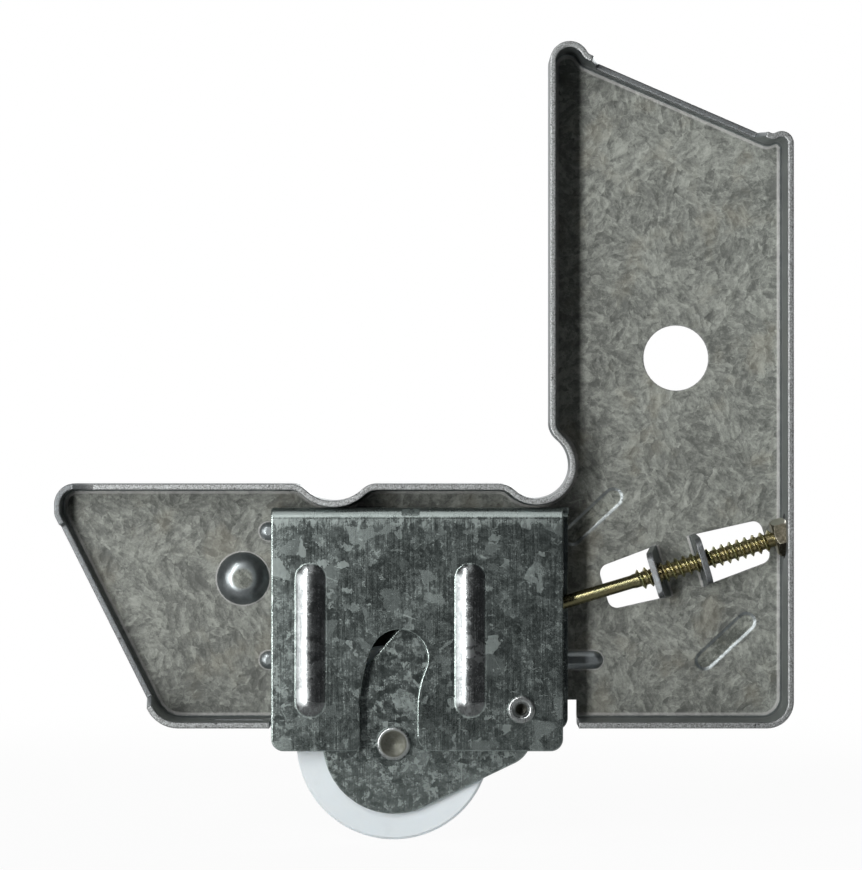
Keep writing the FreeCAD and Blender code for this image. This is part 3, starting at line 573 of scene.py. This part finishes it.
def screw_head(shape):
    """Hexagon head with its corners turned off to a round crown at both ends."""
    place = Matrix.Translation((THREAD_END, 0, 0)) @ Matrix.Rotation(HEAD_TURN, 4, "X")
    place = place @ Matrix.Rotation(math.pi / 2, 4, "Y")
    base = bmesh.ops.create_circle(
        shape, cap_ends=True, radius=HEAD_CORNER, segments=6, matrix=place
    )
    foot = base["verts"][0].link_faces[0]
    bmesh.ops.subdivide_edges(shape, edges=foot.edges[:], cuts=5)
    foot_ring = foot.verts[:]
    sides = extruded(shape, foot, True)
    for spot in sides.verts:
        spot.co.x += from_screw_axis(spot) - HEAD_CROWN
    sides = extruded(shape, sides, False)
    for spot in sides.verts:
        spot.co.x = THREAD_END + HEAD_HEIGHT + HEAD_CROWN - from_screw_axis(spot)
    crown = extruded(shape, sides, False)
    for spot in crown.verts:
        spot.co.x = THREAD_END + HEAD_HEIGHT
    for spot in foot_ring + crown.verts[:]:
        set_radius(spot, HEAD_CROWN)


def adjusting_screw():
    shape = bmesh.new()
    screw_core(shape)
    screw_thread(shape)
    screw_head(shape)
    place = Matrix.Translation(SCREW_PLACE) @ Matrix.Rotation(-SCREW_ANGLE, 4, "Y")
    bmesh.ops.transform(shape, matrix=place, verts=shape.verts)
    screw = finish_mesh("threaded_screw", shape, 32)
    screw.data.materials.append(yellow_zinc("yellow zinc"))
    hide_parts("adjusting_screw")
    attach(screw, "screw")


def dress(node, material):
    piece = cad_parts[node]
    for slot in piece.material_slots:
        slot.material = material


def rays(finish, *kinds):
    """For each kind of ray, 1 where such a ray looks and 0 elsewhere."""
    path = finish.node("ShaderNodeLightPath").socket.node.outputs
    return [Reading(finish, path[f"Is {kind} Ray"]) for kind in kinds]


def studio_floor():
    """Pale floor that glows white to the camera alone, less so near the object for its shadow."""
    shape = bmesh.new()
    place = Matrix.Translation((0, FLOOR_HALF - FLOOR_AHEAD, FLOOR_LEVEL))
    bmesh.ops.create_grid(shape, x_segments=1, y_segments=1, size=FLOOR_HALF, matrix=place)
    floor = finish_mesh("studio_floor", shape)
    pale = Finish("pale floor")
    [seen] = rays(pale, "Camera")
    paint = pale.node("ShaderNodeBsdfDiffuse", {}, {"Color": grey(0.9)})
    glow = pale.node("ShaderNodeEmission", {}, {"Color": grey(1.0), "Strength": 1.0})
    away = pale.measured("DISTANCE", pale.place(), AXLE)
    share = seen * (0.95 + 0.05 * away.step(0.12, 0.3))
    pale.show(pale.node("ShaderNodeMixShader", {}, {0: share, 1: paint, 2: glow}))
    floor.data.materials.append(pale.material)


class WorldFinish(Finish):
    """The studio's surroundings, built the same way as a material."""

    def __init__(self, name):
        world = bpy.data.worlds.new(name)
        world.use_nodes = True
        bpy.context.scene.world = world
        self.start(world.node_tree, "ShaderNodeOutputWorld")


def studio_world():
    """White to the camera and behind the object, dim elsewhere so that metal keeps contrast."""
    room = WorldFinish("studio")
    seen, glossy, clear = rays(room, "Camera", "Glossy", "Transmission")
    _, ahead, _ = room.axes(room.node("ShaderNodeTexCoord", out="Generated"))
    share = seen.most(glossy.most(clear) * ahead.step(0.0, 0.5))
    colour = room.blend(share, (0.02, 0.022, 0.024, 1), (1, 1, 1, 1))
    room.show(room.node("ShaderNodeBackground", {}, {"Color": colour, "Strength": 1.0}))


def lamp(name, power, size, place, aim):
    light = bpy.data.lights.new(name, "AREA")
    light.shape = "RECTANGLE"
    light.energy = power
    light.size, light.size_y = size
    holder = bpy.data.objects.new(name, light)
    holder.location = place
    holder.rotation_euler = (aim - place).to_track_quat("-Z", "Y").to_euler()
    bpy.context.scene.collection.objects.link(holder)


def studio_lights():
    """A tall narrow key from the left, a soft one beside it, a strip above and a fill behind."""
    aim = middle("roller_housing")
    for name, power, size, away, turn in (
        ("key", 34, (0.16, 2.6), 1.6, 23),
        ("side", 2.2, (0.4, 0.36), 0.8, 41),
    ):
        angle = math.radians(turn)
        step = Vector((-math.sin(angle), -math.cos(angle), 0.0))
        lamp(name, power, size, aim + away * step, aim)
    lamp("overhead", 0.75, (0.16, 1.2), aim + Vector((0, -0.42, 0.7)), aim)
    lamp("back fill", 5.0, (0.6, 0.6), aim + Vector((0.35, 0.8, 0.25)), aim)


def studio_camera():
    """Straight on from the front."""
    lens = bpy.data.cameras.new("camera")
    lens.sensor_width = CAMERA_SENSOR
    lens.lens = CAMERA_LENS
    holder = bpy.data.objects.new("camera", lens)
    holder.location = CAMERA_PLACE
    holder.rotation_euler = (math.radians(90), 0, 0)
    bpy.context.scene.collection.objects.link(holder)
    bpy.context.scene.camera = holder


dress("corner_bracket", drawn_zinc("drawn zinc"))
dress("roller_housing", spangled_zinc("spangled zinc", (0, 0, 0), True))
dress("swing_arm", spangled_zinc("arm zinc", (0.31, 0.12, 0.27), False))
dress("pivot_rivet", turned_steel("pivot steel", PIVOT, 0.5, 1.2 * MM))
dress("pivot_spacer", turned_steel("spacer steel", PIVOT, 0.45, 0.9 * MM))
dress("axle_rivet", turned_steel("axle steel", AXLE, 0.55, 2.45 * MM))
dress("wheel", moulded_nylon("white nylon"))
adjusting_screw()
studio_floor()
studio_world()
studio_lights()
studio_camera()
bpy.context.scene.view_settings.view_transform = "Standard"
